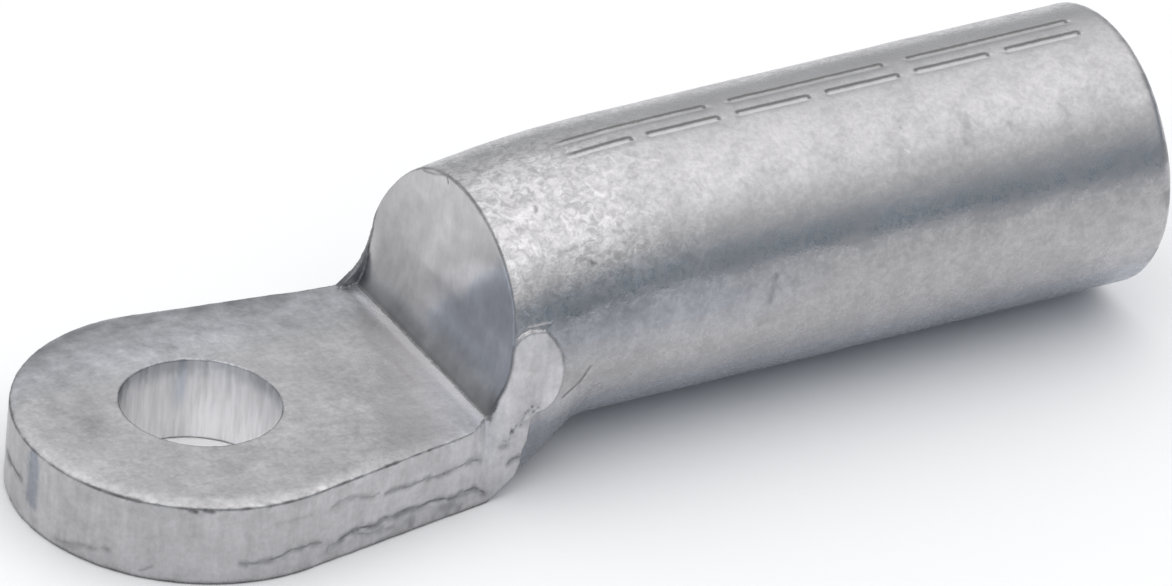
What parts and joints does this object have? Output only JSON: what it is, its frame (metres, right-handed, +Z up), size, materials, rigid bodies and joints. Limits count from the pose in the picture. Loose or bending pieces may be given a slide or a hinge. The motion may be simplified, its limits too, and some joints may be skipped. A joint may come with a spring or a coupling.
{
  "type": "cable lug",
  "caption": "Solid-palm aluminium compression lug: a bored barrel crimps onto a stranded conductor, and the flat palm bolts to a busbar or terminal.",
  "frame": {"origin": "on the bolt hole's axis, at the underside of the palm; the centre plane of the palm and the barrel is 0.4 mm from it, at y = -0.4 mm", "axes": "+X along the barrel towards its open mouth, +Z up from the palm's contact face, so the palm lies on the XY plane and the barrel's axis runs 12.1 mm above it"},
  "size_m": [0.0984, 0.03, 0.0236],
  "materials": {
    "lug_aluminium": "satin, pickled after cold forming, with faint tumbling marks"
  },
  "bodies": {
    "root": {"lug": "lug_aluminium"}
  },
  "joints": []
}
